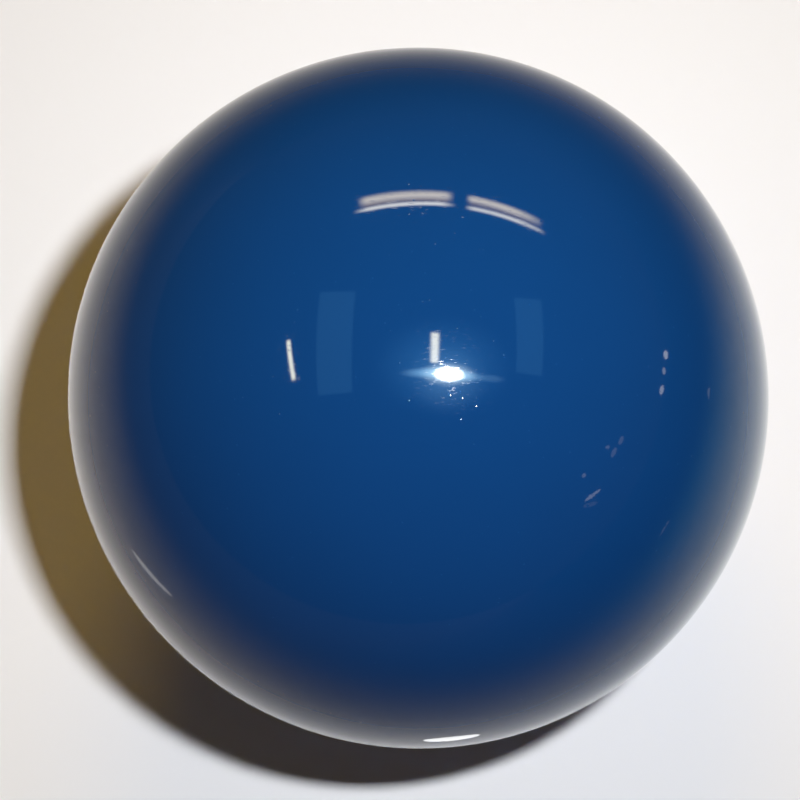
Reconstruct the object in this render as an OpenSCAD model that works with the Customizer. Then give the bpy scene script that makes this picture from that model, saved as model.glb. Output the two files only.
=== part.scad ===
// Plain blue billiard ball, cast in two stages: a core of natural resin is cast first,
// and the pigmented resin of the shell is cast around it, ground round and polished.
// The origin is the centre of the ball, with +Z up.

/* [Ball] */
// Outside diameter of the ground and polished ball
ball_d = 52.5; // [40:0.5:70]

/* [Shell] */
// Radial thickness of the pigmented resin over the core
shell_wall = 6; // [2:0.5:12]

/* [Finish] */
// Colour of the pigmented shell
shell_colour = "#114486"; // color
// Colour of the natural, unpigmented core
core_colour = "#c9b48c"; // color
// Facets around each sphere in the preview
preview_facets = 128; // [32:16:256]

/* [Hidden] */
// The shell is cast straight onto the core, so one diameter is the core's skin and the shell's cavity
bond_d = ball_d - 2 * shell_wall;

module resin_sphere(diameter) {
    sphere(d = diameter, $fn = preview_facets);
}

module inner_core() {
    color(core_colour)
        resin_sphere(bond_d);
}

module outer_shell() {
    color(shell_colour)
        difference() {
            resin_sphere(ball_d);
            resin_sphere(bond_d);
        }
}

inner_core();
outer_shell();
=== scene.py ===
"""Looks of a plain blue billiard ball: a polished resin shell over its core, on a pale table."""
import math

import bpy
from mathutils import Matrix, Vector


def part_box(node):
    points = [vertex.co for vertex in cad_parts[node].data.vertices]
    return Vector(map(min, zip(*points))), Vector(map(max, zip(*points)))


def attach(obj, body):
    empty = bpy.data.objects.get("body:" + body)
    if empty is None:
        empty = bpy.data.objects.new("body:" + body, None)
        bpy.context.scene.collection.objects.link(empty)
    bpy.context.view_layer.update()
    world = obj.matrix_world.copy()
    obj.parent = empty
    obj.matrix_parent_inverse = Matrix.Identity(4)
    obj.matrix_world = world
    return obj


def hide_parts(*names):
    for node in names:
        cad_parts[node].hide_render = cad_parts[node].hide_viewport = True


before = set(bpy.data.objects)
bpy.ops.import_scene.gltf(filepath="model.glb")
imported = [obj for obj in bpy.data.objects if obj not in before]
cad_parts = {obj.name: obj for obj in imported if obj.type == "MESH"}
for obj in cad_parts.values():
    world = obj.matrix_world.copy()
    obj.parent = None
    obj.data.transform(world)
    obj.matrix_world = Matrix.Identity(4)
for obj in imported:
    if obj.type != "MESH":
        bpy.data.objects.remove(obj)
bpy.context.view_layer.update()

# The ball's own sizes, in metres, from the frame
shell_low, shell_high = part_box("outer_shell")
core_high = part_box("inner_core")[1]
ball_radius = (shell_high.z - shell_low.z) / 2
shell_wall = shell_high.z - core_high.z

# The photograph's frame and the ball's outline in it, in pixels
PHOTO_SIDE = 800
OUTLINE_X = 418.0
OUTLINE_Y = 398.3
OUTLINE_RADIUS = 350.8

# The lens looks down steeply from the lower right of the picture, in metres, with its sensor in millimetres
LENS_DISTANCE = 0.4
LENS_SLOPE_RIGHT = 0.0841
LENS_SLOPE_DOWN = 0.2447
SENSOR_WIDTH = 36.0

# Beam of a lamp that shines all over its front, in degrees
OPEN_BEAM = 180

# Key lamp: how far it hangs from the ball, its light, and the middle of its beam on the table
KEY_REACH = 0.398
KEY_RADIANCE = 1555
KEY_BEAM = 46
KEY_AIM = (-0.003, 0.018, -0.026)
KEY_COLOUR = (0.93, 0.945, 1.0)

# Warm fill, and the dim light from all round
FILL_PLACE = (0.01, 0.45, 0.42)
FILL_SIZE = 0.3
FILL_RADIANCE = 3.35
FILL_COLOUR = (1.0, 0.62, 0.12)
DIM_LIGHT = (0.05, 0.037, 0.02)

# Each glint is its middle, width and height in pixels, and its lean in degrees, clockwise
KEY_GLINT = (446.4, 373.8, 12.5, 7, 0)
FLASH_CORE = (448.8, 374.1, 26.5, 13, 2)
FLASH_BLOOM = (448.2, 374.1, 36, 15, 2)
FLASH_HALO = (448, 378, 46, 40, 0)
FLASH_HAZE = (443, 366.3, 82, 58.6, 0)
FLASH_LEFT_WING = (433.5, 372.7, 44, 8, 0)
FLASH_RIGHT_WING = (461.5, 375.8, 31, 8, 5)
FLASH_RIGHT_TIP = (490, 378.4, 22, 6, 5)
TUBE_NEAR = (434.8, 347.5, 7.4, 30, 2)
TUBE_LEFT = (290.6, 360, 3.8, 39, -15)
STRIP_LEFT_WIDE = (405.5, 195.3, 91, 6.4, -3.6)
STRIP_LEFT_DULL = (405.5, 200.3, 90, 3.6, -3.8)
STRIP_LEFT_THIN = (404.3, 204.2, 91, 3.2, -4.1)
STRIP_RIGHT_WIDE = (506, 208.4, 78, 5.2, 18.8)
STRIP_RIGHT_DULL = (506, 213.2, 78, 3.6, 18.5)
STRIP_RIGHT_THIN = (506.5, 217.3, 80, 3.2, 18.2)
PANEL_LEFT = (334, 342, 36, 106, -3)
PANEL_RIGHT = (530, 336, 27, 76, 6)
SLIVER_LOW = (451.8, 739, 58, 4.8, -5.8)
HAIRLINE_LEFT = (150.8, 574.5, 64, 3, 48.5)
DASH_UPPER = (665.8, 354.8, 8, 4.5, -77)
DASH_MIDDLE = (664, 371, 7, 3.5, -83)
DASH_LOWER = (661.7, 390, 9, 4, -70)
DASH_SLANTED = (592.7, 495.2, 20, 3, -36)
DASH_SHORT = (613.9, 452.4, 11, 4, -63)
DASH_SMALL = (621, 440.3, 9, 4, -63)
DASH_UNDER = (590.5, 504.5, 15, 4, -15)
DASH_EDGE = (712, 397, 16, 6, 60)
DASH_LOW_EDGE = (665, 530, 23, 4, -61)
DOT_UPPER = (607.6, 447.2, 4, 4, 0)
DOT_LOWER = (584, 475.3, 4, 4, 0)

# Colours of the lights that the polish mirrors
WHITE = (1.0, 1.0, 1.0)
BLOOM_WHITE = (0.8, 1.0, 0.96)
HAZE_BLUE = (0.113, 0.49, 1.0)
ICE = (0.36, 0.72, 1.0)
TUBE_WHITE = (1.0, 0.96, 0.72)
STRIP_WARM = (1.0, 0.855, 0.565)
STRIP_DULL = (1.0, 0.6, 0.0)
STRIP_PALE = (1.0, 0.95, 0.78)
PANEL_BLUE = (0.18, 0.62, 1.0)

# Round glints: glint, colour, radiance, and the share of its radius over which it fades
ROUND_GLINTS = (
    (FLASH_CORE, WHITE, 40, 0.3),
    (FLASH_BLOOM, BLOOM_WHITE, 9.6, 0.8),
    (FLASH_HALO, ICE, 1.45, 1.0),
    (FLASH_HAZE, HAZE_BLUE, 1.8, 1.0),
    (FLASH_LEFT_WING, ICE, 6.5, 0.75),
    (FLASH_RIGHT_WING, ICE, 6, 0.75),
    (FLASH_RIGHT_TIP, ICE, 1.4, 0.7),
)

# Straight glints: glint, colour, radiance, shares over which ends and sides fade, and ebb to the right
STRAIGHT_GLINTS = (
    (TUBE_NEAR, TUBE_WHITE, 14.2, 0.7, 0.12, 0.0),
    (TUBE_LEFT, TUBE_WHITE, 14.2, 0.8, 0.12, 0.0),
    (STRIP_LEFT_WIDE, STRIP_WARM, 8.8, 0.14, 1.0, 0.0),
    (STRIP_LEFT_DULL, STRIP_DULL, 2.1, 0.14, 1.0, 0.0),
    (STRIP_LEFT_THIN, STRIP_PALE, 10.6, 0.22, 1.0, 0.0),
    (STRIP_RIGHT_WIDE, STRIP_WARM, 8.6, 0.12, 1.0, 0.8),
    (STRIP_RIGHT_DULL, STRIP_DULL, 1.7, 0.12, 1.0, 0.8),
    (STRIP_RIGHT_THIN, STRIP_PALE, 9.3, 0.14, 1.0, 0.6),
    (PANEL_LEFT, PANEL_BLUE, 0.55, 0.1, 0.04, 0.0),
    (PANEL_RIGHT, PANEL_BLUE, 0.55, 0.1, 0.04, 0.0),
)

# Low lamps: name, glint, distance from the ball in metres, and radiance
LOW_LAMPS = (
    ("sliver_low", SLIVER_LOW, 0.02, 2.4),
    ("hairline_left", HAIRLINE_LEFT, 0.04, 0.9),
    ("dash_upper", DASH_UPPER, 0.1, 3.2),
    ("dash_middle", DASH_MIDDLE, 0.1, 1.9),
    ("dash_lower", DASH_LOWER, 0.1, 2.6),
    ("dash_slanted", DASH_SLANTED, 0.1, 1.6),
    ("dash_short", DASH_SHORT, 0.1, 0.6),
    ("dash_small", DASH_SMALL, 0.1, 0.6),
    ("dash_under", DASH_UNDER, 0.1, 0.3),
    ("dash_edge", DASH_EDGE, 0.1, 0.5),
    ("dash_low_edge", DASH_LOW_EDGE, 0.1, 0.45),
    ("dot_upper", DOT_UPPER, 0.1, 0.8),
    ("dot_lower", DOT_LOWER, 0.1, 1.0),
)

# Two pools of light painted into the table's colour, which only the ball sees, in metres
NEAR_POOL_MIDDLE = (0.0128, 0.0036, 0)
NEAR_POOL_REACH = (0.0601, 0.0435, 1)
NEAR_POOL_LEVEL = 0.978
LEFT_POOL_MIDDLE = (-0.079, 0.0052, 0)
LEFT_POOL_REACH = (0.0982, 0.0735, 1)
LEFT_POOL_LEVEL = 0.621

# Painted cool glow in a pool to the right, which only the polish sees, in metres
COOL_POOL_MIDDLE = (0.075, -0.012, 0)
COOL_POOL_REACH = (0.042, 0.045, 1)
COOL_LIGHT = (0.0, 0.17, 0.21)

# Painted dim glow on the table that only the polish sees, in metres and in parts of DIM_LIGHT
GLOW_WAY = (-0.85, -0.53, 0)
GLOW_START = -0.05
GLOW_END = 0.16
GLOW_FAINT = 0.44
GLOW_FULL = 1.5

# Where the lens starts and ends to see the table evenly pale, in metres from the ball
FAR_START = 0.045
FAR_END = 0.17

# Table top: its side in metres, and its plain paint
TABLE_SIDE = 4
TABLE_ROUGHNESS = 0.8
TABLE_SPECULAR = 0.2
TABLE_PALE = (0.935, 0.94, 0.94, 1)
FAR_PALE = (0.82, 0.795, 0.785, 1)
BLACK = (0, 0, 0, 1)

# Blue resin: its pigment, how fine its clouds are to a metre, and its refraction
BLUE_DEEP = (0.0022, 0.0452, 0.172, 1)
BLUE_LIGHT = (0.0026, 0.052, 0.199, 1)
BLUE_SPECK = (0.02, 0.13, 0.34, 1)
CLOUD_FINENESS = 70.0
RESIN_IOR = 1.6

# Cuts along each edge of the cube that the shell is rounded from
SHELL_CUTS = 63

# Dust on the polish: cells to a metre, the size of a speck in its cell, and how much it pales the blue
DUST_FINENESS = 1100.0
DUST_SMALL = 0.05
DUST_LARGE = 0.13
DUST_SHARE = 0.3

# Long scratches and short scuffs: how many to a metre along and across, their turns, and how sharp they are
LONG_SCRATCH = (60, 2400, 2400)
LONG_TURNS = ((0.3, 0.5, 0.6), (1.1, -0.4, -0.9))
SHORT_SCUFF = (1400, 9000, 9000)
SHORT_TURNS = ((0.2, 0.1, 0.9), (-0.1, 0.25, -0.6))
SCRATCH_EDGE = 0.70
SCRATCH_FULL = 0.80

# Relief of the polish: the height of a speck in metres, and a scratch in parts of it
POLISH_RELIEF = 0.00001
SCRATCH_PART = -0.02

# Roughness of the polish where it is clean and where it is smeared, and what a scuff adds to it
SMEAR_FINENESS = 110.0
SMEAR_FAINT = 0.35
SMEAR_STRONG = 0.75
GLOSS_CLEAN = 0.02
GLOSS_SMEARED = 0.045
SCUFF_DULLNESS = 0.085

# Core resin: its two tones, how fine its mottle and grain are to a metre, and its matte skin
RESIN_CREAM = (0.62, 0.49, 0.29, 1)
RESIN_TAN = (0.53, 0.40, 0.21, 1)
MOTTLE_FINENESS = 130.0
GRAIN_FINENESS = 2500.0
GRAIN_STRENGTH = 0.4
GRAIN_RELIEF = 0.00005
CORE_ROUGHNESS = 0.6


def lens_axes():
    """Right, up and back of the camera, with +Y up in the picture."""
    back = Vector((LENS_SLOPE_RIGHT, -LENS_SLOPE_DOWN, 1)).normalized()
    right = Vector((0, 1, 0)).cross(back).normalized()
    return right, back.cross(right), back


def focal_pixels():
    """Focal length in pixels at which the ball's outline has its radius in the photograph."""
    return OUTLINE_RADIUS * math.sqrt(LENS_DISTANCE ** 2 - ball_radius ** 2) / ball_radius


def mirrored(x, y):
    """Where the ray through a pixel meets the ball, and the direction in which the ball mirrors it."""
    right, up, back = lens_axes()
    lens = back * LENS_DISTANCE
    across = (x - OUTLINE_X) / focal_pixels()
    above = (OUTLINE_Y - y) / focal_pixels()
    ray = (right * across + up * above - back).normalized()
    nearest = -lens.dot(ray)
    point = lens + ray * (nearest - math.sqrt(nearest ** 2 - LENS_DISTANCE ** 2 + ball_radius ** 2))
    return point, ray.reflect(point.normalized())


def glint_marks(glint):
    """Pixels at the middle, right, left, top and bottom of a glint."""
    x, y, width, height, lean = glint
    turn = math.radians(lean)
    along_x = math.cos(turn) * width / 2
    along_y = math.sin(turn) * width / 2
    over_x = math.sin(turn) * height / 2
    over_y = -math.cos(turn) * height / 2
    return (
        (x, y),
        (x + along_x, y + along_y),
        (x - along_x, y - along_y),
        (x + over_x, y + over_y),
        (x - over_x, y - over_y),
    )


def hang_camera():
    """Camera on the photograph's line of sight, shifted so that the ball sits where the photograph has it."""
    right, up, back = lens_axes()
    data = bpy.data.cameras.new("camera")
    camera = bpy.data.objects.new("camera", data)
    bpy.context.scene.collection.objects.link(camera)
    turn = Matrix((right, up, back)).transposed()
    camera.matrix_world = Matrix.LocRotScale(back * LENS_DISTANCE, turn.to_quaternion(), None)
    data.sensor_width = SENSOR_WIDTH
    data.lens = focal_pixels() / PHOTO_SIDE * SENSOR_WIDTH
    data.shift_x = (PHOTO_SIDE / 2 - OUTLINE_X) / PHOTO_SIDE
    data.shift_y = (OUTLINE_Y - PHOTO_SIDE / 2) / PHOTO_SIDE
    data.clip_start = ball_radius / 10
    bpy.context.scene.camera = camera


def hang_lamp(name, glint, reach, radiance, colour, shape="RECTANGLE", beam=OPEN_BEAM, aim=(0, 0, 0)):
    """Area lamp that the ball mirrors into one glint, with this radiance along its axis."""
    rays = [mirrored(*mark) for mark in glint_marks(glint)]
    middle, right, left, top, bottom = [point + direction * reach for point, direction in rays]
    side = right - left
    back = (middle - Vector(aim)).normalized()
    lamp_x = (side - back * side.dot(back)).normalized()
    lamp_y = back.cross(lamp_x)
    half_beam = math.radians(beam) / 2
    gather = 1 if beam >= OPEN_BEAM else 1 - half_beam / math.tan(half_beam)
    data = bpy.data.lights.new(name, "AREA")
    data.shape = shape
    data.size = side.length
    data.size_y = (top - bottom).length
    fullness = math.pi / 4 if shape == "ELLIPSE" else 1
    data.energy = radiance * math.pi * data.size * data.size_y * fullness * gather
    data.color = colour
    data.spread = math.radians(beam)
    lamp = bpy.data.objects.new(name, data)
    bpy.context.scene.collection.objects.link(lamp)
    turn = Matrix((lamp_x, lamp_y, back)).transposed()
    lamp.matrix_world = Matrix.LocRotScale(middle, turn.to_quaternion(), None)
    lamp.visible_camera = False
    return lamp


def hang_glint_lamps():
    """Small lamps low round the ball that only its polish shows."""
    for name, glint, reach, radiance in LOW_LAMPS:
        lamp = hang_lamp(name, glint, reach, radiance, WHITE, "ELLIPSE")
        lamp.visible_diffuse = False


def hang_fill():
    """Warm soft lamp behind the ball that the polish doesn't show."""
    data = bpy.data.lights.new("fill", "AREA")
    data.shape = "DISK"
    data.size = FILL_SIZE
    data.energy = FILL_RADIANCE * math.pi ** 2 * FILL_SIZE ** 2 / 4
    data.color = FILL_COLOUR
    lamp = bpy.data.objects.new("fill", data)
    bpy.context.scene.collection.objects.link(lamp)
    place = Vector(FILL_PLACE)
    lamp.matrix_world = Matrix.LocRotScale(place, place.to_track_quat("Z", "Y"), None)
    lamp.visible_camera = False
    lamp.visible_glossy = False


def add_node(tree, kind, settings=None, inputs=None):
    """Shader node with its settings, whose inputs are linked to a socket or set to a value."""
    made = tree.nodes.new("ShaderNode" + kind)
    for name, value in (settings or {}).items():
        setattr(made, name, value)
    for name, value in (inputs or {}).items():
        if isinstance(value, bpy.types.NodeSocket):
            tree.links.new(value, made.inputs[name])
        else:
            made.inputs[name].default_value = value
    return made


def glint_distance(tree, way, glint):
    """Direction of a ray on the flat face of a glint, in its half widths and half heights."""
    middle, right, left, top, bottom = [mirrored(*mark)[1] for mark in glint_marks(glint)]
    side = right - left
    face_x = (side - middle * side.dot(middle)).normalized()
    face_y = middle.cross(face_x)
    turned = add_node(tree, "Mapping", {"vector_type": "TEXTURE"}, {
        "Vector": way,
        "Rotation": Matrix((face_x, face_y, middle)).transposed().to_euler(),
        "Scale": (side.length / 2, (top - bottom).length / 2, 1),
    })
    depth = add_node(tree, "SeparateXYZ", inputs={"Vector": turned.outputs["Vector"]})
    flat = add_node(tree, "VectorMath", {"operation": "DIVIDE"}, {
        0: turned.outputs["Vector"],
        1: depth.outputs["Z"],
    })
    return add_node(tree, "SeparateXYZ", inputs={"Vector": flat.outputs["Vector"]})


def round_glint(tree, way, glint, colour, radiance, soft):
    """Oval glow, which fades over the share of its radius that soft gives."""
    face = glint_distance(tree, way, glint)
    flat = add_node(tree, "CombineXYZ", inputs={"X": face.outputs["X"], "Y": face.outputs["Y"]})
    distance = add_node(tree, "VectorMath", {"operation": "LENGTH"}, {0: flat.outputs["Vector"]})
    return glow(tree, fade(tree, distance.outputs["Value"], soft), colour, radiance)


def box_glint(tree, way, glint, colour, radiance, soft_ends, soft_sides, ebb):
    """Straight-sided glow, which fades over shares of its half width and height, and ebbs to its right."""
    face = glint_distance(tree, way, glint)
    wide = add_node(tree, "Math", {"operation": "ABSOLUTE"}, {0: face.outputs["X"]})
    high = add_node(tree, "Math", {"operation": "ABSOLUTE"}, {0: face.outputs["Y"]})
    level = add_node(tree, "Math", {"operation": "MULTIPLY"}, {
        0: fade(tree, wide.outputs["Value"], soft_ends),
        1: fade(tree, high.outputs["Value"], soft_sides),
    })
    right = add_node(tree, "Math", {"operation": "MAXIMUM"}, {0: face.outputs["X"], 1: 0.0})
    square = add_node(tree, "Math", {"operation": "POWER"}, {0: right.outputs["Value"], 1: 2.0})
    full = add_node(tree, "Math", {"operation": "MULTIPLY_ADD", "use_clamp": True}, {
        0: square.outputs["Value"],
        1: -ebb,
        2: 1.0,
    })
    dimmed = add_node(tree, "Math", {"operation": "MULTIPLY"}, {
        0: level.outputs["Value"],
        1: full.outputs["Value"],
    })
    return glow(tree, dimmed.outputs["Value"], colour, radiance)


def fade(tree, distance, soft):
    """Level of a glow, which falls from 1 to 0 round the distance 1."""
    return add_node(tree, "MapRange", {"interpolation_type": "SMOOTHSTEP"}, {
        "Value": distance,
        "From Min": 1 + soft,
        "From Max": 1 - soft,
    }).outputs["Result"]


def glow(tree, level, colour, radiance):
    """Coloured light of one glint."""
    return add_node(tree, "VectorMath", {"operation": "SCALE"}, {
        0: [radiance * share for share in colour],
        "Scale": level,
    }).outputs["Vector"]


def mirrored_lights(tree, way):
    """All the lights above the table that the polish mirrors, one after another."""
    lights = [round_glint(tree, way, *row) for row in ROUND_GLINTS]
    lights += [box_glint(tree, way, *row) for row in STRAIGHT_GLINTS]
    return lights


def light_world():
    """Dim light from all round, with the bright shapes that only the polish shows, pale to the lens."""
    world = bpy.data.worlds.new("dim_studio")
    world.use_nodes = True
    world.cycles.sampling_method = "NONE"
    tree = world.node_tree
    way = add_node(tree, "TexCoord").outputs["Generated"]
    total = None
    for light in mirrored_lights(tree, way):
        if total is None:
            total = light
        else:
            total = add_node(tree, "VectorMath", {"operation": "ADD"}, {0: total, 1: light}).outputs["Vector"]
    path = add_node(tree, "LightPath")
    shown = add_node(tree, "VectorMath", {"operation": "SCALE"}, {
        0: total,
        "Scale": path.outputs["Is Glossy Ray"],
    })
    dim = add_node(tree, "VectorMath", {"operation": "ADD"}, {0: shown.outputs["Vector"], 1: DIM_LIGHT})
    seen = add_node(tree, "Mix", {"data_type": "RGBA"}, {
        "Factor": path.outputs["Is Camera Ray"],
        "A": dim.outputs["Vector"],
        "B": FAR_PALE,
    })
    tree.links.new(seen.outputs["Result"], tree.nodes["Background"].inputs["Color"])
    bpy.context.scene.world = world


def new_material(name):
    """Node material, its node tree and its Principled shader."""
    material = bpy.data.materials.new(name)
    material.use_nodes = True
    return material, material.node_tree, material.node_tree.nodes["Principled BSDF"]


def pool(tree, place, middle, reach, level):
    """Level of painted light in one pool, which fades out smoothly from its middle."""
    laid = add_node(tree, "Mapping", {"vector_type": "TEXTURE"}, {
        "Vector": place,
        "Location": middle,
        "Scale": reach,
    }).outputs["Vector"]
    square = add_node(tree, "VectorMath", {"operation": "DOT_PRODUCT"}, {0: laid, 1: laid})
    fall = add_node(tree, "Math", {"operation": "MULTIPLY"}, {0: square.outputs["Value"], 1: -1.0})
    share = add_node(tree, "Math", {"operation": "EXPONENT"}, {0: fall.outputs["Value"]})
    return add_node(tree, "Math", {"operation": "MULTIPLY"}, {
        0: share.outputs["Value"],
        1: level,
    }).outputs["Value"]


def dim_glow(tree, place):
    """Level of the table's painted dim glow, which grows towards the lower left."""
    along = add_node(tree, "VectorMath", {"operation": "DOT_PRODUCT"}, {0: place, 1: GLOW_WAY})
    return add_node(tree, "MapRange", inputs={
        "Value": along.outputs["Value"],
        "From Min": GLOW_START,
        "From Max": GLOW_END,
        "To Min": GLOW_FAINT,
        "To Max": GLOW_FULL,
    }).outputs["Result"]


def table_paint_with_painted_light():
    """Pale paint with painted light: the ball sees it in painted pools of light, and dark with a painted dim
    glow further out; the lens sees it evenly pale.
    """
    material, tree, shader = new_material("table_paint_with_painted_light")
    place = add_node(tree, "TexCoord").outputs["Object"]
    path = add_node(tree, "LightPath")
    # Painted pools of light in the table's colour, which only the ball sees
    pools = add_node(tree, "Math", {"operation": "ADD", "use_clamp": True}, {
        0: pool(tree, place, NEAR_POOL_MIDDLE, NEAR_POOL_REACH, NEAR_POOL_LEVEL),
        1: pool(tree, place, LEFT_POOL_MIDDLE, LEFT_POOL_REACH, LEFT_POOL_LEVEL),
    })
    paint = add_node(tree, "Mix", {"data_type": "RGBA"}, {
        "Factor": path.outputs["Is Camera Ray"],
        "A": pools.outputs["Value"],
        "B": TABLE_PALE,
    })
    away = add_node(tree, "VectorMath", {"operation": "LENGTH"}, {0: place})
    far = add_node(tree, "MapRange", inputs={
        "Value": away.outputs["Value"],
        "From Min": FAR_START,
        "From Max": FAR_END,
        "To Max": path.outputs["Is Camera Ray"],
    })
    lit = add_node(tree, "Mix", {"data_type": "RGBA"}, {
        "Factor": far.outputs["Result"],
        "A": paint.outputs["Result"],
        "B": BLACK,
    })
    # Painted dim and cool glow on the table, which only the polish sees
    dim = add_node(tree, "VectorMath", {"operation": "SCALE"}, {0: DIM_LIGHT, "Scale": dim_glow(tree, place)})
    cool = add_node(tree, "VectorMath", {"operation": "SCALE"}, {
        0: COOL_LIGHT,
        "Scale": pool(tree, place, COOL_POOL_MIDDLE, COOL_POOL_REACH, 1.0),
    })
    shown = add_node(tree, "VectorMath", {"operation": "ADD"}, {
        0: dim.outputs["Vector"],
        1: cool.outputs["Vector"],
    })
    glow_colour = add_node(tree, "Mix", {"data_type": "RGBA"}, {
        "Factor": path.outputs["Is Camera Ray"],
        "A": shown.outputs["Vector"],
        "B": FAR_PALE,
    })
    glow_level = add_node(tree, "Math", {"operation": "ADD"}, {
        0: path.outputs["Is Glossy Ray"],
        1: far.outputs["Result"],
    })
    tree.links.new(lit.outputs["Result"], shader.inputs["Base Color"])
    tree.links.new(glow_colour.outputs["Result"], shader.inputs["Emission Color"])
    tree.links.new(glow_level.outputs["Value"], shader.inputs["Emission Strength"])
    shader.inputs["Roughness"].default_value = TABLE_ROUGHNESS
    shader.inputs["Specular IOR Level"].default_value = TABLE_SPECULAR
    return material


def lay_table():
    """Pale table top that the ball stands on."""
    bpy.ops.object.select_all(action="DESELECT")
    bpy.ops.mesh.primitive_plane_add(size=TABLE_SIDE, location=(0, 0, -ball_radius))
    table = bpy.context.object
    table.name = "table_top"
    table.data.materials.append(table_paint_with_painted_light())


def dust_cells(tree, place):
    """Scattered specks, one near the middle of each cell, some large and some small."""
    cells = add_node(tree, "TexVoronoi", inputs={"Vector": place, "Scale": DUST_FINENESS})
    chance = add_node(tree, "SeparateColor", inputs={"Color": cells.outputs["Color"]})
    reach = add_node(tree, "MapRange", inputs={
        "Value": chance.outputs["Red"],
        "To Min": DUST_SMALL,
        "To Max": DUST_LARGE,
    })
    return add_node(tree, "MapRange", {"interpolation_type": "SMOOTHSTEP"}, {
        "Value": cells.outputs["Distance"],
        "From Min": reach.outputs["Result"],
        "From Max": 0.0,
    }).outputs["Result"]


def pigment(tree, place, dust):
    """Blue pigment, a little clouded, paler where a speck of dust lies on it."""
    cloud = add_node(tree, "TexNoise", inputs={"Vector": place, "Scale": CLOUD_FINENESS, "Detail": 4.0})
    blue = add_node(tree, "Mix", {"data_type": "RGBA"}, {
        "Factor": cloud.outputs["Fac"],
        "A": BLUE_DEEP,
        "B": BLUE_LIGHT,
    })
    share = add_node(tree, "Math", {"operation": "MULTIPLY"}, {0: dust, 1: DUST_SHARE})
    return add_node(tree, "Mix", {"data_type": "RGBA"}, {
        "Factor": share.outputs["Value"],
        "A": blue.outputs["Result"],
        "B": BLUE_SPECK,
    }).outputs["Result"]


def hairlines(tree, place, turn, fineness):
    """Sparse fine scratches that run one way, as many to a metre along and across as fineness gives."""
    laid = add_node(tree, "Mapping", inputs={"Vector": place, "Rotation": turn, "Scale": fineness})
    streak = add_node(tree, "TexNoise", inputs={
        "Vector": laid.outputs["Vector"],
        "Scale": 1.0,
        "Detail": 0.0,
    })
    return add_node(tree, "MapRange", inputs={
        "Value": streak.outputs["Fac"],
        "From Min": SCRATCH_EDGE,
        "From Max": SCRATCH_FULL,
    }).outputs["Result"]


def worn_polish(tree, place, dust):
    """Shape of the polish: hairlines that rolling and rubbing have left, and specks of dust on it."""
    first, second = [hairlines(tree, place, turn, LONG_SCRATCH) for turn in LONG_TURNS]
    lines = add_node(tree, "Math", {"operation": "ADD"}, {0: first, 1: second})
    height = add_node(tree, "Math", {"operation": "MULTIPLY_ADD"}, {
        0: lines.outputs["Value"],
        1: SCRATCH_PART,
        2: dust,
    })
    return add_node(tree, "Bump", inputs={
        "Height": height.outputs["Value"],
        "Strength": 1.0,
        "Distance": POLISH_RELIEF,
    }).outputs["Normal"]


def scuffed_gloss(tree, place):
    """Roughness of the polish: smeared by handling, and dull along short scuffs."""
    smear = add_node(tree, "TexNoise", inputs={"Vector": place, "Scale": SMEAR_FINENESS, "Detail": 3.0})
    gloss = add_node(tree, "MapRange", inputs={
        "Value": smear.outputs["Fac"],
        "From Min": SMEAR_FAINT,
        "From Max": SMEAR_STRONG,
        "To Min": GLOSS_CLEAN,
        "To Max": GLOSS_SMEARED,
    })
    first, second = [hairlines(tree, place, turn, SHORT_SCUFF) for turn in SHORT_TURNS]
    scuffs = add_node(tree, "Math", {"operation": "MAXIMUM"}, {0: first, 1: second})
    return add_node(tree, "Math", {"operation": "MULTIPLY_ADD"}, {
        0: scuffs.outputs["Value"],
        1: SCUFF_DULLNESS,
        2: gloss.outputs["Result"],
    }).outputs["Value"]


def polished_blue_resin():
    """Deep blue pigmented resin, ground round and polished, with light wear."""
    material, tree, shader = new_material("polished_blue_resin")
    place = add_node(tree, "TexCoord").outputs["Object"]
    dust = dust_cells(tree, place)
    tree.links.new(pigment(tree, place, dust), shader.inputs["Base Color"])
    tree.links.new(scuffed_gloss(tree, place), shader.inputs["Roughness"])
    tree.links.new(worn_polish(tree, place, dust), shader.inputs["Normal"])
    shader.inputs["IOR"].default_value = RESIN_IOR
    return material


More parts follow.
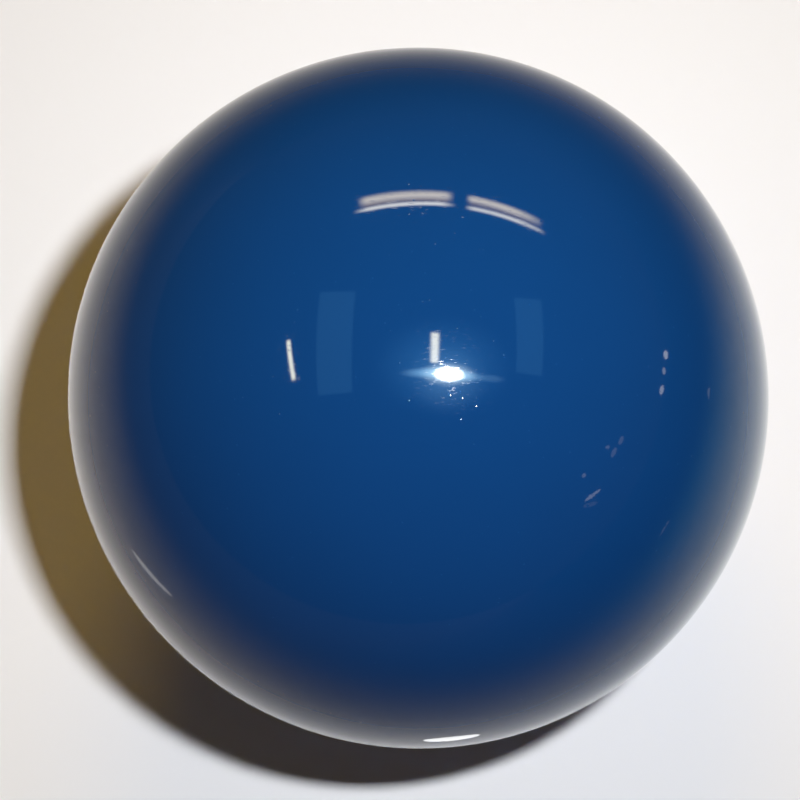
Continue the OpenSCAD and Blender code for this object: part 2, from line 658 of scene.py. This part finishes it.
def natural_resin():
    """Unpigmented cast resin of the core, mottled, with the matte skin of its mould."""
    material, tree, shader = new_material("natural_resin")
    place = add_node(tree, "TexCoord").outputs["Object"]
    mottle = add_node(tree, "TexNoise", inputs={"Vector": place, "Scale": MOTTLE_FINENESS, "Detail": 5.0})
    grain = add_node(tree, "TexNoise", inputs={"Vector": place, "Scale": GRAIN_FINENESS, "Detail": 2.0})
    cream = add_node(tree, "Mix", {"data_type": "RGBA"}, {
        "Factor": mottle.outputs["Fac"],
        "A": RESIN_TAN,
        "B": RESIN_CREAM,
    })
    skin = add_node(tree, "Bump", inputs={
        "Height": grain.outputs["Fac"],
        "Strength": GRAIN_STRENGTH,
        "Distance": GRAIN_RELIEF,
    })
    tree.links.new(cream.outputs["Result"], shader.inputs["Base Color"])
    tree.links.new(skin.outputs["Normal"], shader.inputs["Normal"])
    shader.inputs["Roughness"].default_value = CORE_ROUGHNESS
    return material


def model_shell():
    """Pigmented shell: a ball of even quads with the core's cavity inside it."""
    bpy.ops.object.select_all(action="DESELECT")
    bpy.ops.mesh.primitive_cube_add(size=2 * ball_radius)
    shell = bpy.context.object
    shell.name = "shell_skin"
    bpy.ops.object.mode_set(mode="EDIT")
    bpy.ops.mesh.select_all(action="SELECT")
    bpy.ops.mesh.subdivide(number_cuts=SHELL_CUTS)
    bpy.ops.transform.tosphere(value=1.0)
    bpy.ops.object.mode_set(mode="OBJECT")
    cast = shell.modifiers.new("true_radius", "CAST")
    cast.cast_type = "SPHERE"
    cast.factor = 1.0
    cast.use_radius_as_size = False
    cast.radius = 0
    cast.size = ball_radius
    bpy.ops.object.modifier_apply(modifier=cast.name)
    wall = shell.modifiers.new("wall", "SOLIDIFY")
    wall.thickness = shell_wall
    wall.offset = -1
    bpy.ops.object.modifier_apply(modifier=wall.name)
    bpy.ops.object.shade_smooth()
    shell.data.materials.append(polished_blue_resin())
    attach(shell, "root")
    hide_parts("outer_shell")


def finish_core():
    """The CAD core stays as it is and takes the natural resin."""
    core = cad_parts["inner_core"]
    core.data.materials.clear()
    core.data.materials.append(natural_resin())


hang_camera()
hang_lamp("key", KEY_GLINT, KEY_REACH, KEY_RADIANCE, KEY_COLOUR, "RECTANGLE", KEY_BEAM, KEY_AIM)
hang_glint_lamps()
hang_fill()
light_world()
lay_table()
model_shell()
finish_core()
bpy.context.scene.view_settings.view_transform = "Standard"
